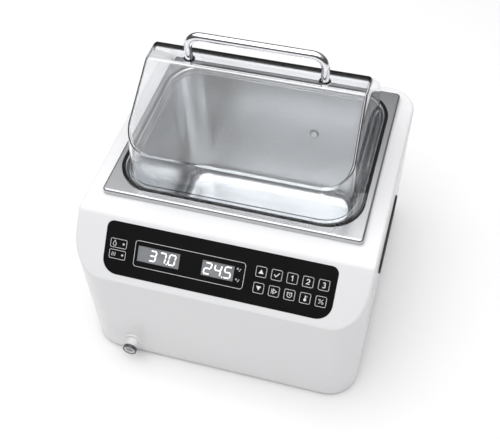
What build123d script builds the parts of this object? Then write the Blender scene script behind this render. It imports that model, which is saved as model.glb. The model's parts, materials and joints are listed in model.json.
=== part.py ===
"""Digital bench water bath: steel tank in a white casing, clear gable lid, sloped keypad, front drain.

Millimetres. +Z is up and the front faces -Y. Places along Y are counted from the middle of the casing,
and save() then moves each piece so that the origin is on the bench, under the middle of the whole object.
"""
import os
from math import atan2, cos, radians, sin, tan

from build123d import *

os.makedirs("parts", exist_ok=True)

# Casing
BODY_WIDTH = 368
BODY_DEPTH = 367
BODY_CORNER = 40
BODY_FOOT_Z = 4
BODY_TOP_Z = 222
WALL = 3
SLOPE_FOOT_Z = 159.3
SLOPE_RUN = 57.5
BEND_RADIUS = 14
OUTLINE_RADIUS = 4

# Steel tank, a deep-drawn pan with the outer flange of a half-size gastronorm pan
TANK_Y = 31
FLANGE_WIDTH = 325
FLANGE_DEPTH = 265
FLANGE_CORNER = 6
FLANGE_LIP = 8
TANK_SHEET = 1
OPENING_WIDTH = 293
OPENING_DEPTH = 233
OPENING_CORNER = 42
TANK_DEPTH = 200
TANK_DRAFT = 2.7
TANK_FLOOR_RADIUS = 22
FLANGE_BEND = 3
OPENING_BEND = 3
CASING_OPENING_GAP = 5.5

# Clear lid
LID_SHEET = 2.5
LID_WIDTH = 285
LID_DEPTH = 228
LID_CORNER = 38
LID_DRAFT = 4.53
LID_SKIRT = 6
LID_RISE = 115
EAVE_FRONT_Z = 280
EAVE_DRAW = 4
RIDGE_RADIUS = 8
LID_RIM = 5
RIDGE_FLAT = 32
REAR_SLOPE = 42
BRIM_WIDTH = 308
BRIM_DEPTH = 245
BRIM_CORNER = 47
HANDLE_Y = TANK_Y - 3.5
HANDLE_HALF_SPAN = 82
HANDLE_RISE = 32
HANDLE_ROD = 10
HANDLE_BEND = 16
HANDLE_STUD = 5
HANDLE_WASHER = 1
HANDLE_NUT = 4

# Control panel, laid out on the slope: x across, v up the slope from its lower edge
PANEL_WIDTH = 286
PANEL_LOW_V = 9.5
PANEL_HIGH_V = 75
PANEL_TOP_CORNER = 9
PANEL_LOW_CORNER = 19
PANEL_THICK = 1.5
PANEL_POCKET = 1.2
PANEL_GAP = 0.15
PANEL_PROUD = PANEL_THICK - PANEL_POCKET
KEY_SIZE = 13.5
KEY_THICK = 0.9
KEY_CORNER = 2
KEY_TRAVEL_GAP = 0.25
KEY_FIRST_X = 53.4
KEY_PITCH = 18.8
KEY_ROWS_V = (50.8, 31.0)
KEY_NAMES = (("up", "set", "program_1", "program_2", "program_3"), ("down", "start", "timer", "calibrate", "unit"))
KEY_PLUNGER = 4
PLUNGER_END = 7.5
SWITCH_TOP = 8
DISPLAYS = {"display_left": (-73.5, 41.5, 53, 19), "display_right": (1.2, 41.2, 39.5, 18.6)}
INDICATOR_SPOTS = ((-119.2, 48.2), (-119.2, 34.4))
INDICATOR_DIA = 2.6
DISPLAY_SUNK = 0.1
BOARD_DEPTH = 12
BOARD_THICK = 1.6
BOARD_SIZE = (274, 52)
BOARD_V = 41
BOARD_POST_SPOTS = ((-130, 21), (-130, 61), (130, 21), (130, 61))

# Fasteners: M4 in the body, M3 on the boards
SCREW_DIA = 4
SCREW_HEAD = 2.4
BOARD_SCREW = 3
BOSS_SCREW = 10

# Under-side
PLATE_THICK = 1.5
PLATE_Z = 5
PLATE_GAP = 0.5
BASE_VENT_SPOTS = ((0, -120), (0, 60))
BASE_VENT_PITCH = 12
BASE_VENT_COUNT = 12
BASE_VENT_LENGTH = 34
BOSS_XY = 165
BOSS_DIA = 18
BOSS_TOP_Z = 28
FOOT_XY = 140
FOOT_DIA = 24
FOOT_NECK = 6.2

# Side grips
GRIP_LENGTH = 126
GRIP_HEIGHT = 34
GRIP_Y = -6.5
GRIP_Z = 141
GRIP_PROUD = 2.5
GRIP_CUP = 16
GRIP_BEZEL = 4
GRIP_WALL = 2

# Drain, at the front left
DRAIN_X = -118
DRAIN_Z = 28.6
DRAIN_OUT = 18.5
COLLAR_DIA = 19
TANK_DRAIN_X = -100
TANK_DRAIN_Y = -35
TANK_DRAIN_Z = 18
DRAIN_NECK = 13.8
HOSE_BORE = 9.2
HOSE_DIA = 13
ROSETTE_DIA = 24
ROSETTE_THICK = 2.5
BARREL_DIA = 16.6
BARREL_LENGTH = 12
NOSE_DIA = 15
COLLAR_LENGTH = 4.8
DRAIN_BORE = 12
POPPET_SEAT = 12
POPPET_LENGTH = 6
POPPET_SUNK = 2

# Rear connections
INLET_X = 118
INLET_Z = 52
INLET_BODY = (27.2, 46)
INLET_DEPTH = 24
INLET_BEZEL = 2.5
SOCKET_V = -10.5
SOCKET_SIZE = (24.4, 16.6)
SOCKET_DEPTH = 16.5
PIN_SPOTS = ((-7, SOCKET_V - 2), (0, SOCKET_V + 2), (7, SOCKET_V - 2))
PIN_SIZE = (2, 4)
TAB_SIZE = (0.8, 6.3)
DRAWER_V = 12
DRAWER_SIZE = (22, 11)
DRAWER_DEPTH = 20
DRAWER_WALL = 0.9
SWITCH_X = 78
SWITCH_Z = 52
SWITCH_BODY = (13, 19.2)
SWITCH_TILT = 6
SWITCH_BEZEL = 2
ROCKER_HALF = 7.8
ROCKER_PIN = 2
REAR_PROUD = 4.4
VENT_X = 90
VENT_Z = 60
VENT_PITCH_X = 46
VENT_PITCH_Z = 8
VENT_COLUMNS = 2
VENT_ROWS = 7
VENT_LENGTH = 40
VENT_HEIGHT = 3

# Inside
CLAMP_SPOTS_X = (-85, 85)
CLAMP_WIDTH = 24
CLAMP_SHEET = 2
CLAMP_DROP = 24
CLAMP_ARM = 22
PROBE_X = 51.7
PROBE_Z = 147.5
PROBE_DIA = 6
HEATER_X = 25
HEATER_SIZE = (200, 150)
SPREADER_THICK = 3
MAT_THICK = 1.5
POWER_BOARD = (40, -128, 150, 76)
POWER_BOARD_RISE = 8
LEAD_DIA = 6
INSULATION = (314, 254)
INSULATION_Z = (60, 184)

FRONT_Y = -BODY_DEPTH / 2
REAR_Y = BODY_DEPTH / 2
OVERALL_MIDDLE_Y = (REAR_PROUD - DRAIN_OUT) / 2
SLOPE_ANGLE = atan2(BODY_TOP_Z - SLOPE_FOOT_Z, SLOPE_RUN)
SLOPE_NORMAL = (0, -sin(SLOPE_ANGLE), cos(SLOPE_ANGLE))
FLANGE_Z = BODY_TOP_Z + FLANGE_LIP
TANK_FLOOR_Z = FLANGE_Z - TANK_DEPTH
TANK_SLANT = tan(radians(TANK_DRAFT))
RIDGE_Z = FLANGE_Z + LID_RISE
LID_FOOT_Z = FLANGE_Z - LID_SKIRT
HANDLE_BAR_Z = RIDGE_Z + HANDLE_RISE
PLATE_TOP_Z = PLATE_Z + PLATE_THICK
CLAMP_SCREW_Y = OPENING_DEPTH / 2 + CASING_OPENING_GAP + 8
CLAMP_SCREWS = [(x, TANK_Y + side * CLAMP_SCREW_Y) for x in CLAMP_SPOTS_X for side in (-1, 1)]


def slope_plane(depth=0.0):
    """Plane of the slope, its origin on the slope's lower edge, sunk by `depth` along the normal."""
    origin = (0, FRONT_Y - depth * SLOPE_NORMAL[1], SLOPE_FOOT_Z - depth * SLOPE_NORMAL[2])
    return Plane(origin=origin, x_dir=(1, 0, 0), z_dir=SLOPE_NORMAL)


def key_spots():
    """Name and place of each key on the slope."""
    for row, v in zip(KEY_NAMES, KEY_ROWS_V):
        for column, name in enumerate(row):
            yield name, (KEY_FIRST_X + column * KEY_PITCH, v)


def panel_outline(growth):
    """Control panel outline on the slope, grown by `growth`: small corners above, large ones below."""
    half = PANEL_WIDTH / 2 + growth
    with BuildSketch() as outline:
        with Locations((0, (PANEL_LOW_V + PANEL_HIGH_V) / 2)):
            Rectangle(2 * half, PANEL_HIGH_V - PANEL_LOW_V + 2 * growth)
        fillet(outline.vertices().group_by(Axis.Y)[-1], PANEL_TOP_CORNER + growth)
        fillet(outline.vertices().group_by(Axis.Y)[0], PANEL_LOW_CORNER + growth)
    return outline.sketch_local


def faces_up(face):
    """True for the faces that look upwards."""
    return face.normal_at().Z > 0.3


def rim_of(faces):
    """Edges round the outside of a patch of faces."""
    edges = [edge for face in faces for edge in face.edges()]
    return ShapeList(edge for edge in edges if sum(edge == other for other in edges) == 1)


def body_shape(inset, low_z, bend, rim):
    """Casing shape set in by `inset`: the side outline met with the rounded plan."""
    slant = tan(SLOPE_ANGLE)
    drop = inset / cos(SLOPE_ANGLE)
    front = FRONT_Y + inset
    top = BODY_TOP_Z - inset
    foot_z = SLOPE_FOOT_Z + inset * slant - drop
    bend_y = FRONT_Y + (top - SLOPE_FOOT_Z + drop) / slant
    with BuildPart() as shape:
        with BuildSketch(Plane.YZ):
            with BuildLine():
                Polyline((front, low_z), (front, foot_z), (bend_y, top), (-front, top), (-front, low_z), close=True)
            make_face()
        extrude(amount=BODY_WIDTH / 2 - inset, both=True)
        with BuildSketch(Plane.XY.offset(low_z)):
            RectangleRounded(BODY_WIDTH - 2 * inset, BODY_DEPTH - 2 * inset, BODY_CORNER - inset)
        extrude(amount=BODY_TOP_Z, mode=Mode.INTERSECT)
        creases = shape.edges().filter_by(Axis.X).filter_by_position(Axis.Z, top - 0.01, top + 0.01)
        fillet(creases.sort_by(Axis.Y)[0], bend)
        fillet(rim_of(shape.faces().filter_by(faces_up)), rim)
    return shape.part


def rounded_ring(outer, outer_radius, inner, inner_radius, low_z, height):
    """Flat ring between two rounded rectangles, centred on the tank."""
    with BuildPart() as ring:
        with BuildSketch(Plane.XY.offset(low_z)):
            with Locations((0, TANK_Y)):
                RectangleRounded(*outer, outer_radius)
                RectangleRounded(*inner, inner_radius, mode=Mode.SUBTRACT)
        extrude(amount=height)
    return ring.part


def rounded_block(size, radius, centre, low_z, height):
    """Flat block with a rounded-rectangle plan."""
    with BuildPart() as block:
        with BuildSketch(Plane.XY.offset(low_z)):
            with Locations(centre):
                RectangleRounded(*size, radius)
        extrude(amount=height)
    return block.part


def basin(growth):
    """Solid of the tank's hollow grown outwards by `growth`, from the flange down to the floor."""
    with BuildPart() as block:
        with BuildSketch(Plane.XY.offset(FLANGE_Z)):
            with Locations((0, TANK_Y)):
                RectangleRounded(OPENING_WIDTH + 2 * growth, OPENING_DEPTH + 2 * growth, OPENING_CORNER + growth)
        extrude(amount=-(TANK_DEPTH + growth), taper=TANK_DRAFT)
        fillet(block.faces().sort_by(Axis.Z)[0].edges(), TANK_FLOOR_RADIUS + growth)
    return block.part


def lid_shape(inset, ridge_radius, rim):
    """Closed gable shape of the lid set in by `inset`."""
    front_slope = atan2(RIDGE_Z - EAVE_FRONT_Z, LID_DEPTH / 2 - EAVE_DRAW - RIDGE_FLAT / 2)
    rear_slope = radians(REAR_SLOPE)
    ridge_z = RIDGE_Z - inset
    front_y = TANK_Y - RIDGE_FLAT / 2 + inset * tan(front_slope / 2)
    rear_y = TANK_Y + RIDGE_FLAT / 2 - inset * tan(rear_slope / 2)
    spread = 2 * LID_SKIRT * tan(radians(LID_DRAFT)) - 2 * inset
    with BuildPart() as shape:
        with BuildSketch(Plane.XY.offset(LID_FOOT_Z)):
            with Locations((0, TANK_Y)):
                RectangleRounded(LID_WIDTH + spread, LID_DEPTH + spread, LID_CORNER - inset)
        extrude(amount=RIDGE_Z - LID_FOOT_Z + LID_SHEET, taper=LID_DRAFT)
        with BuildSketch(Plane.YZ):
            with BuildLine():
                Polyline(
                    (front_y, ridge_z),
                    (rear_y, ridge_z),
                    (rear_y + LID_DEPTH, ridge_z - LID_DEPTH * tan(rear_slope)),
                    (rear_y + LID_DEPTH, 0),
                    (front_y - LID_DEPTH, 0),
                    (front_y - LID_DEPTH, ridge_z - LID_DEPTH * tan(front_slope)),
                    close=True,
                )
            make_face()
        extrude(amount=LID_WIDTH, both=True, mode=Mode.INTERSECT)
        ridges = shape.edges().filter_by(Axis.X).filter_by_position(Axis.Z, ridge_z - 0.01, ridge_z + 0.01)
        fillet(ridges, ridge_radius)
        fillet(rim_of(shape.faces().filter_by(faces_up)), rim)
    return shape.part


def tank_wall(z):
    """Distance of the tank's outer front and rear walls from its centre, at height z."""
    return OPENING_DEPTH / 2 + TANK_SHEET - (FLANGE_Z - z) * TANK_SLANT


def save(name, part):
    """Label a finished piece and write it out, with the origin under the middle of the overall depth."""
    placed = part.moved(Location((0, -OVERALL_MIDDLE_Y, 0)))
    placed.label = name
    export_step(placed, f"parts/{name}.step")


# Casing: one moulded shell, open underneath
casing_outside = body_shape(0, BODY_FOOT_Z, BEND_RADIUS, OUTLINE_RADIUS)
casing_inside = body_shape(WALL, BODY_FOOT_Z - 1, BEND_RADIUS - WALL, OUTLINE_RADIUS - WALL)
rear_plane = Plane(origin=(0, REAR_Y, 0), x_dir=(-1, 0, 0), z_dir=(0, 1, 0))
right_plane = Plane.YZ.offset(BODY_WIDTH / 2)
drain_plane = Plane(origin=(DRAIN_X, FRONT_Y, DRAIN_Z), x_dir=(1, 0, 0), z_dir=(0, -1, 0))

with BuildPart() as casing:
    add(casing_outside)
    add(casing_inside, mode=Mode.SUBTRACT)
    # Corner bosses that the base plate screws into
    with BuildSketch(Plane.XY.offset(PLATE_TOP_Z)):
        with GridLocations(2 * BOSS_XY, 2 * BOSS_XY, 2, 2):
            Circle(BOSS_DIA / 2)
    extrude(amount=BOSS_TOP_Z - PLATE_TOP_Z)
    with BuildSketch(Plane.XY.offset(PLATE_TOP_Z)):
        with GridLocations(2 * BOSS_XY, 2 * BOSS_XY, 2, 2):
            Circle(SCREW_DIA / 2 + 0.05)
    extrude(amount=BOSS_SCREW + 2, mode=Mode.SUBTRACT)
    # Opening that the tank drops through
    with BuildSketch(Plane.XY.offset(BODY_TOP_Z)):
        with Locations((0, TANK_Y)):
            RectangleRounded(
                OPENING_WIDTH + 2 * CASING_OPENING_GAP,
                OPENING_DEPTH + 2 * CASING_OPENING_GAP,
                OPENING_CORNER + CASING_OPENING_GAP,
            )
    extrude(amount=-2 * WALL, mode=Mode.SUBTRACT)
    # Pocket for the control panel, with holes for what lies under it
    with BuildSketch(slope_plane()):
        add(panel_outline(PANEL_GAP))
    extrude(amount=-PANEL_POCKET, mode=Mode.SUBTRACT)
    with BuildSketch(slope_plane()):
        for x, v, width, height in DISPLAYS.values():
            with Locations((x, v)):
                Rectangle(width + 0.8, height + 0.8)
        with Locations(*INDICATOR_SPOTS):
            Circle(INDICATOR_DIA / 2 + 0.3)
        with Locations(*[spot for _, spot in key_spots()]):
            Circle(KEY_PLUNGER / 2 + 0.5)
    extrude(amount=-2 * WALL, mode=Mode.SUBTRACT)
    # Side openings for the grips
    with BuildSketch(right_plane):
        with Locations((GRIP_Y, GRIP_Z)):
            SlotOverall(GRIP_LENGTH - 2 * GRIP_BEZEL + 0.6, GRIP_HEIGHT - 2 * GRIP_BEZEL + 0.6)
    extrude(amount=-BODY_WIDTH, mode=Mode.SUBTRACT)
    # Drain hole
    with BuildSketch(drain_plane):
        Circle(DRAIN_NECK / 2 + 0.2)
    extrude(amount=-2 * WALL, mode=Mode.SUBTRACT)
    # Rear openings: mains inlet, power switch and cooling slots
    with BuildSketch(rear_plane):
        with Locations((-INLET_X, INLET_Z)):
            Rectangle(INLET_BODY[0] + 0.6, INLET_BODY[1] + 0.6)
        with Locations((-SWITCH_X, SWITCH_Z)):
            Rectangle(SWITCH_BODY[0] + 0.6, SWITCH_BODY[1] + 0.6)
        with Locations((VENT_X, VENT_Z)):
            with GridLocations(VENT_PITCH_X, VENT_PITCH_Z, VENT_COLUMNS, VENT_ROWS):
                SlotOverall(VENT_LENGTH, VENT_HEIGHT)
    extrude(amount=-2 * WALL, mode=Mode.SUBTRACT)
save("casing", casing.part)

# Base plate, its screws and the press-in rubber feet
with BuildPart() as base_plate:
    with BuildSketch(Plane.XY.offset(PLATE_Z)):
        RectangleRounded(
            BODY_WIDTH - 2 * WALL - 2 * PLATE_GAP,
            BODY_DEPTH - 2 * WALL - 2 * PLATE_GAP,
            BODY_CORNER - WALL - PLATE_GAP,
        )
        with GridLocations(2 * BOSS_XY, 2 * BOSS_XY, 2, 2):
            Circle(SCREW_DIA / 2 + 0.3, mode=Mode.SUBTRACT)
        with GridLocations(2 * FOOT_XY, 2 * FOOT_XY, 2, 2):
            Circle(FOOT_NECK / 2 + 0.1, mode=Mode.SUBTRACT)
        with Locations(*BASE_VENT_SPOTS):
            with GridLocations(BASE_VENT_PITCH, 0, BASE_VENT_COUNT, 1):
                SlotOverall(BASE_VENT_LENGTH, VENT_HEIGHT, rotation=90, mode=Mode.SUBTRACT)
    extrude(amount=PLATE_THICK)
save("base_plate", base_plate.part)

with BuildPart() as base_screws:
    with BuildSketch(Plane.XY.offset(PLATE_Z)):
        with GridLocations(2 * BOSS_XY, 2 * BOSS_XY, 2, 2):
            Circle(SCREW_DIA)
    extrude(amount=-SCREW_HEAD)
    chamfer(base_screws.faces().filter_by(Axis.Z).group_by(Axis.Z)[0].edges(), 0.6)
    with BuildSketch(Plane.XY.offset(PLATE_Z)):
        with GridLocations(2 * BOSS_XY, 2 * BOSS_XY, 2, 2):
            Circle(SCREW_DIA / 2)
    extrude(amount=PLATE_THICK + BOSS_SCREW)
save("base_screws", base_screws.part)

FOOT_PLACES = {
    "foot_front_left": (-FOOT_XY, -FOOT_XY),
    "foot_front_right": (FOOT_XY, -FOOT_XY),
    "foot_rear_left": (-FOOT_XY, FOOT_XY),
    "foot_rear_right": (FOOT_XY, FOOT_XY),
}
for foot_name, (foot_x, foot_y) in FOOT_PLACES.items():
    with BuildPart() as foot:
        with BuildSketch(Plane(origin=(foot_x, foot_y, 0), x_dir=(1, 0, 0), z_dir=(0, -1, 0))):
            with BuildLine():
                Polyline(
                    (0, 0),
                    (FOOT_DIA / 2 - 1.5, 0),
                    (FOOT_DIA / 2, 1.5),
                    (FOOT_DIA / 2, PLATE_Z),
                    (FOOT_NECK / 2, PLATE_Z),
                    (FOOT_NECK / 2, PLATE_TOP_Z),
                    (FOOT_NECK / 2 + 1.2, PLATE_TOP_Z),
                    (FOOT_NECK / 2 - 1, PLATE_TOP_Z + 3),
                    (0, PLATE_TOP_Z + 3),
                    close=True,
                )
            make_face()
        revolve(axis=Axis((foot_x, foot_y, 0), (0, 0, 1)))
    save(foot_name, foot.part)

# Tank: deep-drawn pan whose flange is turned down at its edge
tank_outside = basin(TANK_SHEET)
tank_hollow = basin(0)
probe_tilt = radians(TANK_DRAFT)
probe_y = TANK_Y + tank_wall(PROBE_Z) - TANK_SHEET
probe_plane = Plane(
    origin=(PROBE_X, probe_y, PROBE_Z),
    x_dir=(1, 0, 0),
    z_dir=(0, -cos(probe_tilt), sin(probe_tilt)),
)

with BuildPart() as tank:
    with BuildSketch(Plane.XY.offset(BODY_TOP_Z)):
        with Locations((0, TANK_Y)):
            RectangleRounded(FLANGE_WIDTH, FLANGE_DEPTH, FLANGE_CORNER)
    extrude(amount=FLANGE_LIP)
    fillet(tank.faces().sort_by(Axis.Z)[-1].edges(), FLANGE_BEND)
    with BuildSketch(Plane.XY.offset(BODY_TOP_Z)):
        with Locations((0, TANK_Y)):
            RectangleRounded(
                FLANGE_WIDTH - 2 * TANK_SHEET,
                FLANGE_DEPTH - 2 * TANK_SHEET,
                FLANGE_CORNER - TANK_SHEET,
            )
    extrude(amount=FLANGE_LIP - TANK_SHEET, mode=Mode.SUBTRACT)
    add(tank_outside)
    under_edges = tank.faces().filter_by(Axis.Z).filter_by_position(
        Axis.Z, FLANGE_Z - TANK_SHEET - 0.01, FLANGE_Z - TANK_SHEET + 0.01
    )
    fillet(under_edges[0].inner_wires()[0].edges(), OPENING_BEND - TANK_SHEET)
    add(tank_hollow, mode=Mode.SUBTRACT)
    fillet(tank.faces().sort_by(Axis.Z)[-1].inner_wires()[0].edges(), OPENING_BEND)
    with BuildSketch(Plane.XY.offset(TANK_FLOOR_Z)):
        with Locations((TANK_DRAIN_X, TANK_DRAIN_Y)):
            Circle(DRAIN_NECK / 2 + 0.2)
    extrude(amount=-2 * TANK_SHEET, mode=Mode.SUBTRACT)
    with BuildSketch(probe_plane):
        Circle(PROBE_DIA / 2 + 0.1)
    extrude(amount=2 * TANK_SHEET, both=True, mode=Mode.SUBTRACT)
save("tank", tank.part)

seal = rounded_ring(
    (FLANGE_WIDTH - 2 * TANK_SHEET - 4, FLANGE_DEPTH - 2 * TANK_SHEET - 4),
    FLANGE_CORNER,
    (OPENING_WIDTH + 2 * CASING_OPENING_GAP + 2, OPENING_DEPTH + 2 * CASING_OPENING_GAP + 2),
    OPENING_CORNER,
    BODY_TOP_Z,
    FLANGE_LIP - TANK_SHEET,
)
save("tank_seal", seal)

# Clamps: angle brackets on the tank's long walls, whose screws press up against the casing's top
clamp_low_z = BODY_TOP_Z - WALL - CLAMP_DROP
clamp_high_z = BODY_TOP_Z - WALL - 3
with BuildPart() as tank_clamps:
    for x in CLAMP_SPOTS_X:
        with BuildSketch(Plane.YZ.offset(x - CLAMP_WIDTH / 2)):
            for side in (-1, 1):
                arm_y = tank_wall(clamp_low_z) + CLAMP_ARM
                with BuildLine():
                    Polyline(
                        (TANK_Y + side * tank_wall(clamp_high_z), clamp_high_z),
                        (TANK_Y + side * (tank_wall(clamp_high_z) + CLAMP_SHEET), clamp_high_z),
                        (TANK_Y + side * (tank_wall(clamp_low_z) + CLAMP_SHEET), clamp_low_z + CLAMP_SHEET),
                        (TANK_Y + side * arm_y, clamp_low_z + CLAMP_SHEET),
                        (TANK_Y + side * arm_y, clamp_low_z),
                        (TANK_Y + side * tank_wall(clamp_low_z), clamp_low_z),
                        close=True,
                    )
                make_face()
        extrude(amount=CLAMP_WIDTH)
    with BuildSketch(Plane.XY.offset(clamp_low_z)):
        with Locations(*CLAMP_SCREWS):
            Circle(SCREW_DIA / 2 + 0.05)
    extrude(amount=CLAMP_SHEET, mode=Mode.SUBTRACT)
save("tank_clamps", tank_clamps.part)

with BuildPart() as clamp_screws:
    with BuildSketch(Plane.XY.offset(BODY_TOP_Z - WALL)):
        with Locations(*CLAMP_SCREWS):
            Circle(SCREW_DIA / 2)
    extrude(amount=-(CLAMP_DROP + 4))
    with BuildSketch(Plane.XY.offset(clamp_low_z - 4)):
        with Locations(*CLAMP_SCREWS):
            RegularPolygon(SCREW_DIA * 0.875, 6, major_radius=False)
    extrude(amount=-SCREW_HEAD)
save("clamp_screws", clamp_screws.part)

# Lid: clear one-piece shell with a brim that rests on the flange
lid_outside = lid_shape(0, RIDGE_RADIUS, LID_RIM)
lid_inside = lid_shape(LID_SHEET, RIDGE_RADIUS - LID_SHEET, LID_RIM - LID_SHEET)
handle_feet = [(side * HANDLE_HALF_SPAN, HANDLE_Y) for side in (-1, 1)]

with BuildPart() as lid:
    with BuildSketch(Plane.XY.offset(FLANGE_Z)):
        with Locations((0, TANK_Y)):
            RectangleRounded(BRIM_WIDTH, BRIM_DEPTH, BRIM_CORNER)
    extrude(amount=LID_SHEET)
    fillet(lid.faces().sort_by(Axis.Z)[-1].edges(), 0.8)
    add(lid_outside)
    add(lid_inside, mode=Mode.SUBTRACT)
    with BuildSketch(Plane.XY.offset(RIDGE_Z)):
        with Locations(*handle_feet):
            Circle(HANDLE_STUD / 2 + 0.15)
    extrude(amount=-2 * LID_SHEET, mode=Mode.SUBTRACT)
save("lid", lid.part)

with BuildPart() as lid_handle:
    with BuildLine() as handle_line:
        FilletPolyline(
            (-HANDLE_HALF_SPAN, HANDLE_Y, RIDGE_Z),
            (-HANDLE_HALF_SPAN, HANDLE_Y, HANDLE_BAR_Z),
            (HANDLE_HALF_SPAN, HANDLE_Y, HANDLE_BAR_Z),
            (HANDLE_HALF_SPAN, HANDLE_Y, RIDGE_Z),
            radius=HANDLE_BEND,
        )
    with BuildSketch(Plane.XY.offset(RIDGE_Z)):
        with Locations(handle_feet[0]):
            Circle(HANDLE_ROD / 2)
    sweep()
    with BuildSketch(Plane.XY.offset(RIDGE_Z)):
        with Locations(*handle_feet):
            Circle(HANDLE_STUD / 2)
    extrude(amount=-(LID_SHEET + HANDLE_WASHER + HANDLE_NUT + 1))
save("lid_handle", lid_handle.part)

with BuildPart() as handle_washers:
    with BuildSketch(Plane.XY.offset(RIDGE_Z - LID_SHEET)):
        with Locations(*handle_feet):
            Circle(1.4 * HANDLE_STUD)
            Circle(HANDLE_STUD / 2 + 0.1, mode=Mode.SUBTRACT)
    extrude(amount=-HANDLE_WASHER)
save("handle_washers", handle_washers.part)

with BuildPart() as handle_nuts:
    with BuildSketch(Plane.XY.offset(RIDGE_Z - LID_SHEET - HANDLE_WASHER)):
        with Locations(*handle_feet):
            RegularPolygon(HANDLE_STUD * 0.8, 6, major_radius=False)
            Circle(HANDLE_STUD / 2 + 0.05, mode=Mode.SUBTRACT)
    extrude(amount=-HANDLE_NUT)
save("handle_nuts", handle_nuts.part)

# Control panel with windows for the displays, holes for the keys and the indicator lights
with BuildPart() as control_panel:
    with BuildSketch(slope_plane(PANEL_POCKET)):
        add(panel_outline(0))
        for x, v, width, height in DISPLAYS.values():
            with Locations((x, v)):
                Rectangle(width + 0.3, height + 0.3, mode=Mode.SUBTRACT)
        with Locations(*[spot for _, spot in key_spots()]):
            RectangleRounded(
                KEY_SIZE + 2 * KEY_TRAVEL_GAP,
                KEY_SIZE + 2 * KEY_TRAVEL_GAP,
                KEY_CORNER + KEY_TRAVEL_GAP,
                mode=Mode.SUBTRACT,
            )
        with Locations(*INDICATOR_SPOTS):
            Circle(INDICATOR_DIA / 2 + 0.1, mode=Mode.SUBTRACT)
    extrude(amount=PANEL_THICK)
    chamfer(control_panel.faces().filter_by(slope_plane()).sort_by(Axis.Z)[-1].outer_wire().edges(), 0.25)
save("control_panel", control_panel.part)

for key_name, key_spot in key_spots():
    with BuildPart() as key:
        with BuildSketch(slope_plane(KEY_THICK - PANEL_PROUD)):
            with Locations(key_spot):
                RectangleRounded(KEY_SIZE, KEY_SIZE, KEY_CORNER)
        extrude(amount=KEY_THICK)
        with BuildSketch(slope_plane(PLUNGER_END)):
            with Locations(key_spot):
                Circle(KEY_PLUNGER / 2)
        extrude(amount=PLUNGER_END - KEY_THICK + PANEL_PROUD)
    save(f"key_{key_name}", key.part)

for display_name, (display_x, display_v, display_width, display_height) in DISPLAYS.items():
    with BuildPart() as display:
        with BuildSketch(slope_plane(BOARD_DEPTH)):
            with Locations((display_x, display_v)):
                Rectangle(display_width, display_height)
        extrude(amount=BOARD_DEPTH - DISPLAY_SUNK)
    save(display_name, display.part)

with BuildPart() as indicator_lights:
    with BuildSketch(slope_plane(BOARD_DEPTH)):
        with Locations(*INDICATOR_SPOTS):
            Circle(INDICATOR_DIA / 2)
    extrude(amount=BOARD_DEPTH + PANEL_PROUD)
save("indicator_lights", indicator_lights.part)

with BuildPart() as control_board:
    with BuildSketch(slope_plane(BOARD_DEPTH + BOARD_THICK)):
        with Locations((0, BOARD_V)):
            Rectangle(*BOARD_SIZE)
        with Locations(*BOARD_POST_SPOTS):
            Circle(BOARD_SCREW / 2 + 0.1, mode=Mode.SUBTRACT)
    extrude(amount=BOARD_THICK)
save("control_board", control_board.part)

with BuildPart() as key_switches:
    with BuildSketch(slope_plane(BOARD_DEPTH)):
        with Locations(*[spot for _, spot in key_spots()]):
            RectangleRounded(6, 6, 0.5)
    extrude(amount=3.5)
    with BuildSketch(slope_plane(BOARD_DEPTH - 3.5)):
        with Locations(*[spot for _, spot in key_spots()]):
            Circle(1.75)
    extrude(amount=BOARD_DEPTH - 3.5 - SWITCH_TOP)
save("key_switches", key_switches.part)

with BuildPart() as board_posts:
    with BuildSketch(slope_plane(BOARD_DEPTH)):
        with Locations(*BOARD_POST_SPOTS):
            RegularPolygon(BOARD_SCREW, 6, major_radius=False)
            Circle(BOARD_SCREW / 2 + 0.05, mode=Mode.SUBTRACT)
    extrude(amount=BOARD_DEPTH - WALL)
save("board_posts", board_posts.part)

board_x, board_y, board_width, board_depth = POWER_BOARD
power_board_z = PLATE_TOP_Z + POWER_BOARD_RISE
power_board_top = power_board_z + BOARD_THICK
power_post_grid = (board_width - 10, board_depth - 10, 2, 2)

with BuildPart() as board_screws:
    with BuildSketch(slope_plane(BOARD_DEPTH + BOARD_THICK)):
        with Locations(*BOARD_POST_SPOTS):
            Circle(BOARD_SCREW * 0.9)
    extrude(amount=-2)
    with BuildSketch(slope_plane(BOARD_DEPTH + BOARD_THICK)):
        with Locations(*BOARD_POST_SPOTS):
            Circle(BOARD_SCREW / 2)
    extrude(amount=6)
    with BuildSketch(Plane.XY.offset(power_board_top)):
        with Locations((board_x, board_y)):
            with GridLocations(*power_post_grid):
                Circle(BOARD_SCREW * 0.9)
    extrude(amount=2)
    with BuildSketch(Plane.XY.offset(power_board_top)):
        with Locations((board_x, board_y)):
            with GridLocations(*power_post_grid):
                Circle(BOARD_SCREW / 2)
    extrude(amount=-6)
save("board_screws", board_screws.part)

# Power board on its posts, with the parts that switch the heater
with BuildPart() as power_posts:
    with BuildSketch(Plane.XY.offset(PLATE_TOP_Z)):
        with Locations((board_x, board_y)):
            with GridLocations(*power_post_grid):
                RegularPolygon(BOARD_SCREW, 6, major_radius=False)
                Circle(BOARD_SCREW / 2 + 0.05, mode=Mode.SUBTRACT)
    extrude(amount=POWER_BOARD_RISE)
save("power_posts", power_posts.part)

with BuildPart() as power_board:
    with BuildSketch(Plane.XY.offset(power_board_z)):
        with Locations((board_x, board_y)):
            Rectangle(board_width, board_depth)
            with GridLocations(*power_post_grid):
                Circle(BOARD_SCREW / 2 + 0.1, mode=Mode.SUBTRACT)
    extrude(amount=BOARD_THICK)
save("power_board", power_board.part)

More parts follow.
